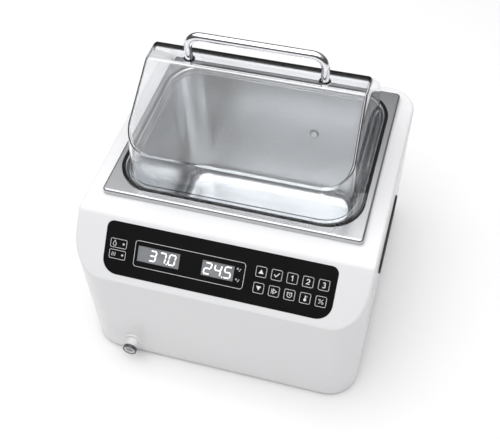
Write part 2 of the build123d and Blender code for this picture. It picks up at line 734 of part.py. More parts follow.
with BuildPart() as transformer:
    with BuildSketch(Plane.XY.offset(power_board_top)):
        with Locations((board_x - 42, board_y)):
            RectangleRounded(42, 36, 2)
    extrude(amount=10)
    with BuildSketch(Plane.XY.offset(power_board_top + 10)):
        with Locations((board_x - 42, board_y)):
            Rectangle(46, 24)
    extrude(amount=24)
    with BuildSketch(Plane.XY.offset(power_board_top + 13)):
        with Locations((board_x - 42, board_y)):
            RectangleRounded(30, 36, 3)
    extrude(amount=18)
save("transformer", transformer.part)

with BuildPart() as heater_relay:
    with BuildSketch(Plane.XY.offset(power_board_top)):
        with Locations((board_x + 12, board_y + 8)):
            RectangleRounded(29, 13, 1)
    extrude(amount=16)
    with BuildSketch(Plane.XY.offset(power_board_top)):
        with Locations((board_x + 12, board_y - 18)):
            Circle(8)
    extrude(amount=20)
    fillet(heater_relay.faces().filter_by(Axis.Z).group_by(Axis.Z)[-1].edges(), 1)
save("heater_relay", heater_relay.part)

with BuildPart() as terminal_block:
    with BuildSketch(Plane.XY.offset(power_board_top)):
        with Locations((board_x + 52, board_y + 14)):
            Rectangle(30, 12)
    extrude(amount=12)
    with BuildSketch(Plane.XY.offset(power_board_top + 12)):
        with Locations((board_x + 52, board_y + 12)):
            with GridLocations(9, 0, 3, 1):
                Circle(2.2)
    extrude(amount=-3, mode=Mode.SUBTRACT)
save("terminal_block", terminal_block.part)

# Heating under the tank floor
spreader_z = TANK_FLOOR_Z - TANK_SHEET - SPREADER_THICK
heating_mat_z = spreader_z - MAT_THICK
heat_spreader = rounded_block(HEATER_SIZE, 12, (HEATER_X, TANK_Y), spreader_z, SPREADER_THICK)
save("heat_spreader", heat_spreader)
mat_size = (HEATER_SIZE[0] - 12, HEATER_SIZE[1] - 12)
heating_mat = rounded_block(mat_size, 8, (HEATER_X, TANK_Y), heating_mat_z, MAT_THICK)
save("heating_mat", heating_mat)

with BuildPart() as cutout_thermostat:
    with BuildSketch(Plane.XY.offset(heating_mat_z)):
        with Locations((HEATER_X + 40, TANK_Y)):
            Circle(8)
    extrude(amount=-7)
    with BuildSketch(Plane.XY.offset(heating_mat_z - 7)):
        with Locations((HEATER_X + 40, TANK_Y)):
            with GridLocations(9, 0, 2, 1):
                Rectangle(*TAB_SIZE)
    extrude(amount=-6)
save("cutout_thermostat", cutout_thermostat.part)

with BuildPart() as tank_insulation:
    with BuildSketch(Plane.XY.offset(INSULATION_Z[0])):
        with Locations((0, TANK_Y)):
            RectangleRounded(*INSULATION, OPENING_CORNER + 8)
    extrude(amount=INSULATION_Z[1] - INSULATION_Z[0])
    add(basin(TANK_SHEET + 0.5), mode=Mode.SUBTRACT)
    with BuildSketch(probe_plane):
        Circle(PROBE_DIA + 6)
    extrude(amount=-30, mode=Mode.SUBTRACT)
save("tank_insulation", tank_insulation.part)

# Temperature probe through the tank's rear wall
with BuildPart() as temperature_probe:
    with BuildSketch(probe_plane):
        Circle(PROBE_DIA * 0.85)
    extrude(amount=2.2)
    fillet(temperature_probe.edges().filter_by(GeomType.CIRCLE).sort_by(Axis.Y)[0], 0.8)
    with BuildSketch(probe_plane):
        Circle(PROBE_DIA / 2)
    extrude(amount=-16)
save("temperature_probe", temperature_probe.part)

with BuildPart() as probe_nut:
    with BuildSketch(probe_plane.offset(-TANK_SHEET)):
        RegularPolygon(PROBE_DIA * 0.85, 6, major_radius=False)
        Circle(PROBE_DIA / 2 + 0.05, mode=Mode.SUBTRACT)
    extrude(amount=-4)
save("probe_nut", probe_nut.part)

# Drain: from the tank floor through a hose to the coupling on the front
with BuildPart() as tank_drain:
    with BuildSketch(Plane.XY.offset(TANK_FLOOR_Z)):
        with Locations((TANK_DRAIN_X, TANK_DRAIN_Y)):
            Circle(DRAIN_NECK - 1)
    extrude(amount=1.5)
    chamfer(tank_drain.edges().group_by(Axis.Z)[-1], 0.7)
    with BuildSketch(Plane.XY.offset(TANK_FLOOR_Z)):
        with Locations((TANK_DRAIN_X, TANK_DRAIN_Y)):
            Circle(DRAIN_NECK / 2)
    extrude(amount=-(TANK_FLOOR_Z - TANK_DRAIN_Z + 7))
    with BuildSketch(Plane.XZ.offset(-TANK_DRAIN_Y)):
        with Locations((TANK_DRAIN_X, TANK_DRAIN_Z)):
            Circle(HOSE_BORE / 2 - 0.1)
    extrude(amount=24)
    with BuildSketch(Plane.XZ.offset(-TANK_DRAIN_Y)):
        with Locations((TANK_DRAIN_X, TANK_DRAIN_Z)):
            Circle(3)
    extrude(amount=24, mode=Mode.SUBTRACT)
    with BuildSketch(Plane.XY.offset(TANK_FLOOR_Z + 1.5)):
        with Locations((TANK_DRAIN_X, TANK_DRAIN_Y)):
            Circle(4)
    extrude(amount=-(TANK_FLOOR_Z + 1.5 - TANK_DRAIN_Z + 4), mode=Mode.SUBTRACT)
save("tank_drain", tank_drain.part)

with BuildPart() as drain_locknuts:
    with BuildSketch(Plane.XY.offset(TANK_FLOOR_Z - TANK_SHEET)):
        with Locations((TANK_DRAIN_X, TANK_DRAIN_Y)):
            RegularPolygon(DRAIN_NECK * 0.8, 6, major_radius=False)
            Circle(DRAIN_NECK / 2 + 0.05, mode=Mode.SUBTRACT)
    extrude(amount=-4)
    with BuildSketch(drain_plane.offset(-WALL)):
        RegularPolygon(DRAIN_NECK * 0.8, 6, major_radius=False)
        Circle(DRAIN_NECK / 2 + 0.05, mode=Mode.SUBTRACT)
    extrude(amount=-4)
save("drain_locknuts", drain_locknuts.part)

hose_start_y = TANK_DRAIN_Y - DRAIN_NECK / 2 - 2
hose_end_y = FRONT_Y + 12
with BuildPart() as drain_hose:
    with BuildLine() as hose_line:
        FilletPolyline(
            (TANK_DRAIN_X, hose_start_y, TANK_DRAIN_Z),
            (TANK_DRAIN_X, hose_start_y - 36, TANK_DRAIN_Z),
            (DRAIN_X, hose_end_y + 42, DRAIN_Z),
            (DRAIN_X, hose_end_y, DRAIN_Z),
            radius=70,
        )
    with BuildSketch(Plane.XZ.offset(-hose_start_y)):
        with Locations((TANK_DRAIN_X, TANK_DRAIN_Z)):
            Circle(HOSE_DIA / 2)
            Circle(HOSE_BORE / 2, mode=Mode.SUBTRACT)
    sweep()
save("drain_hose", drain_hose.part)

with BuildPart() as hose_clips:
    for clip_x, clip_y, clip_z in ((TANK_DRAIN_X, hose_start_y - 3, TANK_DRAIN_Z), (DRAIN_X, hose_end_y + 9, DRAIN_Z)):
        with BuildSketch(Plane.XZ.offset(-clip_y)):
            with Locations((clip_x, clip_z)):
                Circle(HOSE_DIA / 2 + 1)
                with Locations((0, HOSE_DIA / 2 + 1.5)):
                    Rectangle(5, 5)
                Circle(HOSE_DIA / 2 + 0.1, mode=Mode.SUBTRACT)
        extrude(amount=6)
save("hose_clips", hose_clips.part)

with BuildPart() as drain_outlet:
    with BuildSketch(drain_plane):
        Circle(ROSETTE_DIA / 2)
    extrude(amount=ROSETTE_THICK)
    fillet(drain_outlet.edges().group_by(Axis.Y)[0], 1.2)
    with BuildSketch(drain_plane):
        Circle(BARREL_DIA / 2)
    extrude(amount=BARREL_LENGTH)
    chamfer(drain_outlet.edges().group_by(Axis.Y)[0], 0.4)
    with BuildSketch(drain_plane):
        Circle(NOSE_DIA / 2)
    extrude(amount=DRAIN_OUT - 0.6)
    with BuildSketch(drain_plane):
        Circle(DRAIN_NECK / 2)
    extrude(amount=-9)
    with BuildSketch(drain_plane):
        Circle(HOSE_BORE / 2 - 0.1)
    extrude(amount=-24)
    with BuildSketch(drain_plane):
        Circle(3)
    extrude(amount=24, both=True, mode=Mode.SUBTRACT)
    with BuildSketch(drain_plane.offset(DRAIN_OUT)):
        Circle(DRAIN_BORE / 2)
    extrude(amount=-POPPET_SEAT, mode=Mode.SUBTRACT)
save("drain_outlet", drain_outlet.part)

with BuildPart() as drain_collar:
    with BuildSketch(drain_plane.offset(DRAIN_OUT - COLLAR_LENGTH)):
        Circle(COLLAR_DIA / 2)
        Circle(NOSE_DIA / 2 + 0.05, mode=Mode.SUBTRACT)
    extrude(amount=COLLAR_LENGTH)
    fillet(drain_collar.edges().group_by(Axis.Y)[0], 0.5)
    fillet(drain_collar.edges().group_by(Axis.Y)[-1].sort_by(Edge.length)[-1], 0.5)
save("drain_collar", drain_collar.part)

with BuildPart() as drain_poppet:
    with BuildSketch(drain_plane.offset(DRAIN_OUT - POPPET_SUNK - POPPET_LENGTH)):
        Circle(DRAIN_BORE / 2 - 0.05)
    extrude(amount=POPPET_LENGTH)
    fillet(drain_poppet.edges().group_by(Axis.Y)[0], 0.8)
save("drain_poppet", drain_poppet.part)

# Finger grips set into the sides
grip_slot = (GRIP_LENGTH - 2 * GRIP_BEZEL, GRIP_HEIGHT - 2 * GRIP_BEZEL)
with BuildPart() as grip_right:
    with BuildSketch(right_plane):
        with Locations((GRIP_Y, GRIP_Z)):
            SlotOverall(GRIP_LENGTH, GRIP_HEIGHT)
    extrude(amount=GRIP_PROUD)
    fillet(grip_right.faces().sort_by(Axis.X)[-1].edges(), 1.4)
    with BuildSketch(right_plane):
        with Locations((GRIP_Y, GRIP_Z)):
            SlotOverall(*grip_slot)
    extrude(amount=-(GRIP_CUP + GRIP_WALL))
    with BuildSketch(right_plane.offset(GRIP_PROUD)):
        with Locations((GRIP_Y, GRIP_Z)):
            SlotOverall(grip_slot[0] - 2 * GRIP_WALL, grip_slot[1] - 2 * GRIP_WALL)
    extrude(amount=-(GRIP_CUP + GRIP_PROUD), mode=Mode.SUBTRACT)
save("grip_right", grip_right.part)
save("grip_left", mirror(grip_right.part, about=Plane.YZ))

# Mains inlet with its fuse drawer
inlet_plane = Plane(origin=(INLET_X, REAR_Y, INLET_Z), x_dir=(-1, 0, 0), z_dir=(0, 1, 0))
with BuildPart() as mains_inlet:
    with BuildSketch(inlet_plane):
        RectangleRounded(INLET_BODY[0] + 4, INLET_BODY[1] + 4, 2)
    extrude(amount=INLET_BEZEL)
    fillet(mains_inlet.faces().sort_by(Axis.Y)[-1].edges(), 0.8)
    with BuildSketch(inlet_plane):
        Rectangle(*INLET_BODY)
    extrude(amount=-INLET_DEPTH)
    with BuildSketch(inlet_plane.offset(INLET_BEZEL)):
        with Locations((0, SOCKET_V)):
            Rectangle(*SOCKET_SIZE)
    extrude(amount=-(SOCKET_DEPTH + INLET_BEZEL), mode=Mode.SUBTRACT)
    with BuildSketch(inlet_plane.offset(INLET_BEZEL)):
        with Locations((0, DRAWER_V)):
            Rectangle(DRAWER_SIZE[0] + 0.4, DRAWER_SIZE[1] + 0.4)
    extrude(amount=-(DRAWER_DEPTH + INLET_BEZEL + 0.5), mode=Mode.SUBTRACT)
    with BuildSketch(inlet_plane.offset(-INLET_DEPTH)):
        with Locations(*PIN_SPOTS):
            Rectangle(PIN_SIZE[0] + 0.1, PIN_SIZE[1] + 0.1)
    extrude(amount=INLET_DEPTH, mode=Mode.SUBTRACT)
save("mains_inlet", mains_inlet.part)

with BuildPart() as inlet_pins:
    with BuildSketch(inlet_plane.offset(-INLET_DEPTH)):
        with Locations(*PIN_SPOTS):
            Rectangle(*PIN_SIZE)
    extrude(amount=INLET_DEPTH - 3)
    with BuildSketch(inlet_plane.offset(-INLET_DEPTH)):
        with Locations(*PIN_SPOTS):
            Rectangle(*TAB_SIZE)
    extrude(amount=-8)
save("inlet_pins", inlet_pins.part)

with BuildPart() as fuse_drawer:
    with BuildSketch(inlet_plane.offset(-DRAWER_DEPTH)):
        with Locations((0, DRAWER_V)):
            Rectangle(*DRAWER_SIZE)
    extrude(amount=DRAWER_DEPTH + INLET_BEZEL + 0.8)
    fillet(fuse_drawer.faces().sort_by(Axis.Y)[-1].edges(), 0.6)
    with BuildSketch(inlet_plane.offset(-DRAWER_DEPTH + 1)):
        with Locations((0, DRAWER_V + DRAWER_SIZE[1] / 2)):
            Rectangle(DRAWER_SIZE[0] - 2 * DRAWER_WALL, 2 * (DRAWER_SIZE[1] - 3 * DRAWER_WALL))
    extrude(amount=DRAWER_DEPTH - 2, mode=Mode.SUBTRACT)
save("fuse_drawer", fuse_drawer.part)

# Power switch: frame and rocker
switch_plane = Plane(origin=(SWITCH_X, REAR_Y, SWITCH_Z), x_dir=(-1, 0, 0), z_dir=(0, 1, 0))
with BuildPart() as switch_frame:
    with BuildSketch(switch_plane):
        RectangleRounded(SWITCH_BODY[0] + 3, SWITCH_BODY[1] + 3, 1)
    extrude(amount=SWITCH_BEZEL)
    fillet(switch_frame.faces().sort_by(Axis.Y)[-1].edges(), 0.8)
    with BuildSketch(switch_plane):
        Rectangle(*SWITCH_BODY)
    extrude(amount=-16)
    with BuildSketch(switch_plane.offset(SWITCH_BEZEL)):
        Rectangle(SWITCH_BODY[0] - 2, SWITCH_BODY[1] - 2)
    extrude(amount=-(SWITCH_BEZEL + 9), mode=Mode.SUBTRACT)
    with BuildSketch(Plane.YZ.offset(SWITCH_X)):
        with Locations((REAR_Y, SWITCH_Z)):
            Circle(ROCKER_PIN / 2 + 0.05)
    extrude(amount=SWITCH_BODY[0] / 2 - 0.4, both=True, mode=Mode.SUBTRACT)
save("switch_frame", switch_frame.part)

with BuildPart() as rocker:
    with BuildSketch(Plane.YZ.offset(SWITCH_X)):
        with BuildLine():
            Polyline(
                (REAR_Y - 3, SWITCH_Z - ROCKER_HALF + 1),
                (REAR_Y - 3, SWITCH_Z + ROCKER_HALF - 1),
                (REAR_Y + 3.6, SWITCH_Z + ROCKER_HALF),
                (REAR_Y + 2.8, SWITCH_Z),
                (REAR_Y + 3.6, SWITCH_Z - ROCKER_HALF),
                close=True,
            )
        make_face()
    extrude(amount=SWITCH_BODY[0] / 2 - 1.3, both=True)
    with BuildSketch(Plane.YZ.offset(SWITCH_X)):
        with Locations((REAR_Y, SWITCH_Z)):
            Circle(ROCKER_PIN / 2)
    extrude(amount=SWITCH_BODY[0] / 2 - 0.6, both=True)
rocker_axis = Axis((SWITCH_X, REAR_Y, SWITCH_Z), (1, 0, 0))
save("power_rocker", rocker.part.rotate(rocker_axis, -SWITCH_TILT))

# Wiring: mains leads from the inlet, under the tank, to the power board
with BuildPart() as mains_leads:
    with BuildLine() as lead_line:
        FilletPolyline(
            (INLET_X, REAR_Y - INLET_DEPTH - 9.5, INLET_Z + SOCKET_V),
            (INLET_X + 4, REAR_Y - INLET_DEPTH - 24, INLET_Z + SOCKET_V - 10),
            (INLET_X + 36, 98, 14),
            (INLET_X + 36, -70, 14),
            (INLET_X + 22, -108, power_board_top + 4),
            (board_x + 68.2, board_y + 15, power_board_top + 6),
            radius=(16, 20, 30, 14),
        )
    with BuildSketch(Plane(origin=lead_line.line @ 0, z_dir=lead_line.line % 0)):
        Circle(LEAD_DIA / 2)
    sweep()
save("mains_leads", mains_leads.part)
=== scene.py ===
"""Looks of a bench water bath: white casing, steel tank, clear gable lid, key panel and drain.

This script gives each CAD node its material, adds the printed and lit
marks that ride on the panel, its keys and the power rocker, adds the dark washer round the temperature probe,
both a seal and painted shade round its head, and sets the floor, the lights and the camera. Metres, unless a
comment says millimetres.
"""
import json
from math import cos, pi, radians, sin

import bmesh
import bpy
from mathutils import Matrix, Quaternion, Vector


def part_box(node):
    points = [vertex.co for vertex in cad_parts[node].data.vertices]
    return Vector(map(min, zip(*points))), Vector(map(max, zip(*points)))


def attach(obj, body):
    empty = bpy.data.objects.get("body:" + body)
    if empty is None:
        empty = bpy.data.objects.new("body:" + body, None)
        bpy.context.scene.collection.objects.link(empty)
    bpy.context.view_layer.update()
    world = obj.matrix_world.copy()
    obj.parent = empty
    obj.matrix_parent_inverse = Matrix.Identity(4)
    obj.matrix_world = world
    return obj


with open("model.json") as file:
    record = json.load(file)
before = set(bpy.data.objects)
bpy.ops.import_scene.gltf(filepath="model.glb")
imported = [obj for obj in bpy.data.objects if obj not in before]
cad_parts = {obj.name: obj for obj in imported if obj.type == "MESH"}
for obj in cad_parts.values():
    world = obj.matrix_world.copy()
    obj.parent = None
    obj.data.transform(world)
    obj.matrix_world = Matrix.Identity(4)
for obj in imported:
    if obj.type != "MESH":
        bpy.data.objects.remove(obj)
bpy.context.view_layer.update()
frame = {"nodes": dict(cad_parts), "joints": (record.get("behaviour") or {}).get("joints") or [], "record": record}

MM = 0.001
ACROSS = Vector((1, 0, 0))

# Height of the middle of the "up" key above the slope's foot, measured up the slope, in millimetres
KEY_UP_V = 50.8

# Prints, in millimetres: line widths, how far the ink stands proud, and how near points are joined
LINE = 0.5
BOLD = 1.05
INK_HEIGHT = 0.04
WELD = 1e-4
# How sharp a corner may be before a strip gets thinner round it: the cosine of half its turn
SHARPEST = 0.5

# Waves of warm air: how far they swing, their rise a step and their line's width, in millimetres
WAVE_SWING = 0.45
WAVE_RISE = 0.45
WAVE_WIDTH = 0.55
WAVE_STEPS = 10

# Displays, in millimetres: how far their face lies below the panel's, and a digit bar's width and height
DISPLAY_SUNK = 0.4
BAR_WIDTH = 1.75
BAR_HEIGHT = 0.06
# What a bar lacks at each end, as a share of its width, and how far a digit leans, as a share of its height
BAR_GAP = 0.12
DIGIT_LEAN = 0.12

# Probe's head, from its tip to the washer, and the washer round it, in millimetres
PROBE_HEAD = 2.4
WASHER_RADIUS = 5.9
WASHER_WIDTH = 1.5
WASHER_HEIGHT = 0.8

# Bands of another colour, painted dark reflections on the lid's ridge and on the tank's flange: how soft their
# edge is and where they begin
BAND_EDGE = 0.0012
# Where the lid's painted dark reflection begins, behind and above the ridge's rear bend
RIDGE_REAR_Y = 0.0455
RIDGE_BEND_Z = 0.3340
# Where the tank's painted dark reflection begins: the flange and its lip are greyer above this height
FLANGE_LIP_Z = 0.2215

# Noise: the values that a range is spread over, and how fine it is for patches and for grain
NOISE_LOW = 0.3
NOISE_HIGH = 0.7
PATCH_DETAIL = 3.0
GRAIN_DETAIL = 4.0

# Plain finishes: how far the roughness drifts, and how many grains span a patch of colour and of gloss
PLAIN_DRIFT = 0.06
COLOUR_PATCH = 8
GLOSS_PATCH = 4

CAMERA_PLACE = (0.2050, -0.6686, 0.9340)
CAMERA_AZIMUTH = 17.44
CAMERA_ELEVATION = 53.19
CAMERA_ROLL = -2.0
CAMERA_LENS = 56.36
CAMERA_SENSOR = 36
CAMERA_SHIFT = 0.1


# ---------------------------------------------------------------- flat shapes, in millimetres
def arc(centre, radius, start, stop, steps=14):
    """Points along an arc, from the angle start to stop, in degrees."""
    turns = [radians(start + (stop - start) * i / steps) for i in range(steps + 1)]
    return [(centre[0] + radius * cos(t), centre[1] + radius * sin(t)) for t in turns]


def circle(centre, radius, steps):
    """Points round a circle, each once."""
    return arc(centre, radius, 0, 360, steps)[:-1]


def rounded_box(width, height, radius, centre=(0, 0)):
    """Outline of a rounded rectangle."""
    x, y = width / 2 - radius, height / 2 - radius
    points = []
    for side_x, side_y, start in ((x, y, 0), (-x, y, 90), (-x, -y, 180), (x, -y, 270)):
        points += arc((centre[0] + side_x, centre[1] + side_y), radius, start, start + 90, 6)
    return points


def side_step(points, i, closed):
    """Unit step to the left of a line at its point i, longer at a corner so that a strip keeps its width."""
    count = len(points)
    here = Vector(points[i])
    ways = []
    if closed or i > 0:
        ways.append((here - Vector(points[i - 1])).normalized())
    if closed or i < count - 1:
        ways.append((Vector(points[(i + 1) % count]) - here).normalized())
    mean = sum(ways, Vector((0, 0))).normalized()
    left = Vector((-mean.y, mean.x))
    return left / max(SHARPEST, mean.dot(ways[0]))


def strip(points, width, closed=False):
    """Faces of a flat strip along a line."""
    count = len(points)
    sides = [side_step(points, i, closed) * (width / 2) for i in range(count)]
    left = [Vector(p) + s for p, s in zip(points, sides)]
    right = [Vector(p) - s for p, s in zip(points, sides)]
    starts = range(count if closed else count - 1)
    return [(right[i], right[(i + 1) % count], left[(i + 1) % count], left[i]) for i in starts]


def filled(points):
    """One face inside an outline."""
    return [tuple(Vector(p) for p in points)]


def moved(faces, shift):
    """The same faces somewhere else on the plane."""
    return [tuple(p + Vector(shift) for p in face) for face in faces]


# ---------------------------------------------------------------- planes that the marks lie on
def plane_matrix(place, across, up, outward):
    """Millimetres on a plane, x across, y up and z outwards, to the row frame."""
    turn = Matrix((across, up, outward)).transposed()
    return Matrix.Translation(place) @ turn.to_4x4() @ Matrix.Scale(MM, 4)


key_axis = next(Vector(j["axis"]) for j in frame["joints"] if j["child"] == "key_up")
outwards = -key_axis
up_slope = outwards.cross(ACROSS)


def cap_centre(node):
    """Middle of a square key's outer face."""
    low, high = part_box(node)
    half = (high.x - low.x) / 2
    return Vector(((low.x + high.x) / 2, low.y + half * up_slope.y, high.z - half * up_slope.z))


slope_foot = cap_centre("key_up") - KEY_UP_V * MM * up_slope
slope_foot.x = 0


def slope_matrix(across=0, up=0, lift=0):
    """A plane parallel to the panel's, by millimetres across, up the slope from its foot, and outwards."""
    place = slope_foot + MM * (across * ACROSS + up * up_slope + lift * outwards)
    return plane_matrix(place, ACROSS, up_slope, outwards)


def relief(name, faces, matrix, height, body, finish):
    """A thin raised print or insert: the flat faces made solid, standing on a plane."""
    mesh = bpy.data.meshes.new(name)
    shape = bmesh.new()
    for face in faces:
        shape.faces.new([shape.verts.new((p.x, p.y, 0)) for p in face])
    bmesh.ops.remove_doubles(shape, verts=shape.verts, dist=WELD)
    top = bmesh.ops.extrude_face_region(shape, geom=list(shape.faces), use_keep_orig=True)
    risen = [item for item in top["geom"] if isinstance(item, bmesh.types.BMVert)]
    bmesh.ops.translate(shape, verts=risen, vec=(0, 0, height))
    bmesh.ops.recalc_face_normals(shape, faces=shape.faces)
    shape.transform(matrix)
    shape.to_mesh(mesh)
    shape.free()
    mesh.materials.append(finish)
    piece = bpy.data.objects.new(name, mesh)
    bpy.context.scene.collection.objects.link(piece)
    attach(piece, body)


# ---------------------------------------------------------------- materials
def colour_mix(tree):
    """A mix of two colours: its factor socket, its two colour sockets and its result."""
    mix = tree.nodes.new("ShaderNodeMix")
    mix.data_type = "RGBA"
    first, second = [socket for socket in mix.inputs if socket.type == "RGBA"]
    result = next(socket for socket in mix.outputs if socket.type == "RGBA")
    return mix.inputs["Factor"], first, second, result


class Finish:
    """A node-based material: a Principled shader fed by noise in object space."""

    def __init__(self, name, colour, roughness, **sockets):
        self.material = bpy.data.materials.new(name)
        self.material.use_nodes = True
        self.tree = self.material.node_tree
        self.shader = next(n for n in self.tree.nodes if n.type == "BSDF_PRINCIPLED")
        self.place = self.tree.nodes.new("ShaderNodeTexCoord").outputs["Object"]
        self.colour = colour
        self.roughness = roughness
        self.shader.inputs["Base Color"].default_value = (*colour, 1)
        self.shader.inputs["Roughness"].default_value = roughness
        for socket, value in sockets.items():
            self.shader.inputs[socket.replace("_", " ")].default_value = value

    def link(self, source, target):
        """Feed one socket from another."""
        self.tree.links.new(source, target)

    def node(self, kind, **values):
        """A new node with some of its inputs set."""
        made = self.tree.nodes.new(kind)
        for socket, value in values.items():
            made.inputs[socket.replace("_", " ")].default_value = value
        return made

    def noise(self, scale, detail=PATCH_DETAIL, stretch=(1, 1, 1)):
        """Noise of that many grains a metre, drawn out along an axis by a small stretch."""
        mapping = self.node("ShaderNodeMapping", Scale=stretch)
        self.link(self.place, mapping.inputs["Vector"])
        noise = self.node("ShaderNodeTexNoise", Scale=scale, Detail=detail)
        self.link(mapping.outputs["Vector"], noise.inputs["Vector"])
        return noise.outputs["Fac"]

    def ranged(self, value, low, high):
        """A noise value spread from low to high."""
        limits = {"From_Min": NOISE_LOW, "From_Max": NOISE_HIGH, "To_Min": low, "To_Max": high}
        spread = self.node("ShaderNodeMapRange", **limits)
        self.link(value, spread.inputs["Value"])
        return spread.outputs["Result"]

    def mottle(self, other, scale, stretch=(1, 1, 1)):
        """Colour that drifts between the base colour and another."""
        factor, first, second, result = colour_mix(self.tree)
        first.default_value = (*self.colour, 1)
        second.default_value = (*other, 1)
        self.link(self.ranged(self.noise(scale, stretch=stretch), 0, 1), factor)
        self.link(result, self.shader.inputs["Base Color"])
        return self

    def band(self, other, limits):
        """Another colour past every limit: an axis of object space with the place where the change begins."""
        split = self.node("ShaderNodeSeparateXYZ")
        self.link(self.place, split.inputs["Vector"])
        amount = None
        for axis, start in limits:
            step = self.node("ShaderNodeMapRange", From_Min=start, From_Max=start + BAND_EDGE)
            self.link(split.outputs[axis], step.inputs["Value"])
            if amount is None:
                amount = step.outputs["Result"]
                continue
            both = self.node("ShaderNodeMath")
            both.operation = "MULTIPLY"
            self.link(amount, both.inputs[0])
            self.link(step.outputs["Result"], both.inputs[1])
            amount = both.outputs["Value"]
        factor, first, second, result = colour_mix(self.tree)
        self.link(self.shader.inputs["Base Color"].links[0].from_socket, first)
        second.default_value = (*other, 1)
        self.link(amount, factor)
        self.link(result, self.shader.inputs["Base Color"])
        return self

    def smudge(self, change, scale, stretch=(1, 1, 1)):
        """Roughness that drifts up and down by change."""
        low, high = max(0.0, self.roughness - change), self.roughness + change
        spread = self.ranged(self.noise(scale, stretch=stretch), low, high)
        self.link(spread, self.shader.inputs["Roughness"])
        return self

    def grain(self, scale, depth):
        """Fine relief, depth in metres."""
        bump = self.node("ShaderNodeBump", Strength=1.0, Distance=depth)
        self.link(self.noise(scale, GRAIN_DETAIL), bump.inputs["Height"])
        self.link(bump.outputs["Normal"], self.shader.inputs["Normal"])
        return self


def casing_plastic():
    finish = Finish("casing_plastic", (0.82, 0.82, 0.825), 0.3, Coat_Weight=0.3, Coat_Roughness=0.1)
    return finish.mottle((0.81, 0.812, 0.82), 9).smudge(0.02, 6)


def tank_steel():
    """Drawn steel with a satin sheen, with a painted dark reflection greying the flange and its turned-down lip.
    """
    finish = Finish("tank_steel", (0.76, 0.775, 0.79), 0.25, Metallic=1.0)
    finish.mottle((0.73, 0.745, 0.76), 10, (1, 1, 0.2)).smudge(0.03, 12, (1, 1, 0.1))
    # Grey above the lip's foot: painted dark reflection on the flange and its lip
    return finish.band((0.5, 0.505, 0.515), (("Z", FLANGE_LIP_Z),))


def lid_clear():
    """Clear acrylic, with a painted dark reflection along the rear bend of the ridge."""
    finish = Finish("lid_clear", (0.985, 0.99, 0.995), 0.0, Transmission_Weight=1.0, IOR=1.49)
    ridge_painted_reflection = (("Y", RIDGE_REAR_Y), ("Z", RIDGE_BEND_Z))
    # A near-black band past the ridge's rear bend: painted dark reflection on the clear lid
    return finish.mottle((0.975, 0.983, 0.99), 6).band((0.03, 0.03, 0.03), ridge_painted_reflection)


def chrome_plate():
    finish = Finish("chrome_plate", (0.84, 0.84, 0.86), 0.07, Metallic=1.0)
    return finish.mottle((0.8, 0.8, 0.82), 60).smudge(0.02, 120).grain(500, 0.000004)


def panel_film():
    finish = Finish("panel_film", (0.004, 0.004, 0.0045), 0.5, Specular_IOR_Level=0.1)
    return finish.mottle((0.006, 0.006, 0.0065), 40).smudge(0.05, 60).grain(4200, 0.00001)


def key_film():
    finish = Finish("key_film", (0.005, 0.005, 0.0055), 0.5, Specular_IOR_Level=0.1)
    return finish.mottle((0.007, 0.007, 0.0075), 60).smudge(0.05, 90).grain(4200, 0.00001)


def display_lcd():
    finish = Finish("display_lcd", (0.2, 0.21, 0.22), 0.25, Coat_Weight=0.5, Coat_Roughness=0.05)
    return finish.mottle((0.27, 0.28, 0.29), 45).grain(2500, 0.000003)


def indicator_lens():
    finish = Finish("indicator_lens", (0.75, 0.75, 0.72), 0.2, Coat_Weight=0.6)
    return finish.mottle((0.65, 0.65, 0.62), 300).grain(1500, 0.00001)


def panel_ink():
    finish = Finish("panel_ink", (0.85, 0.85, 0.85), 0.5)
    return finish.mottle((0.8, 0.8, 0.8), 200).grain(3000, 0.000004)


def digit_glow():
    finish = Finish("digit_glow", (0.95, 0.96, 0.97), 0.4, Emission_Strength=0.5)
    finish.shader.inputs["Emission Color"].default_value = (1, 1, 1, 1)
    return finish.mottle((0.9, 0.91, 0.92), 150)


def floor_paper():
    finish = Finish("floor_paper", (0.93, 0.93, 0.93), 0.8)
    return finish.mottle((0.92, 0.92, 0.92), 3).grain(300, 0.00002)


def plain(name, colour, other, roughness, scale, depth, metallic=0.0):
    """A moulded, rolled or woven surface told by its two colours and the size of its grain."""
    finish = Finish(name, colour, roughness, Metallic=metallic)
    finish.mottle(other, scale / COLOUR_PATCH).smudge(PLAIN_DRIFT, scale / GLOSS_PATCH)
    return finish.grain(scale, depth)


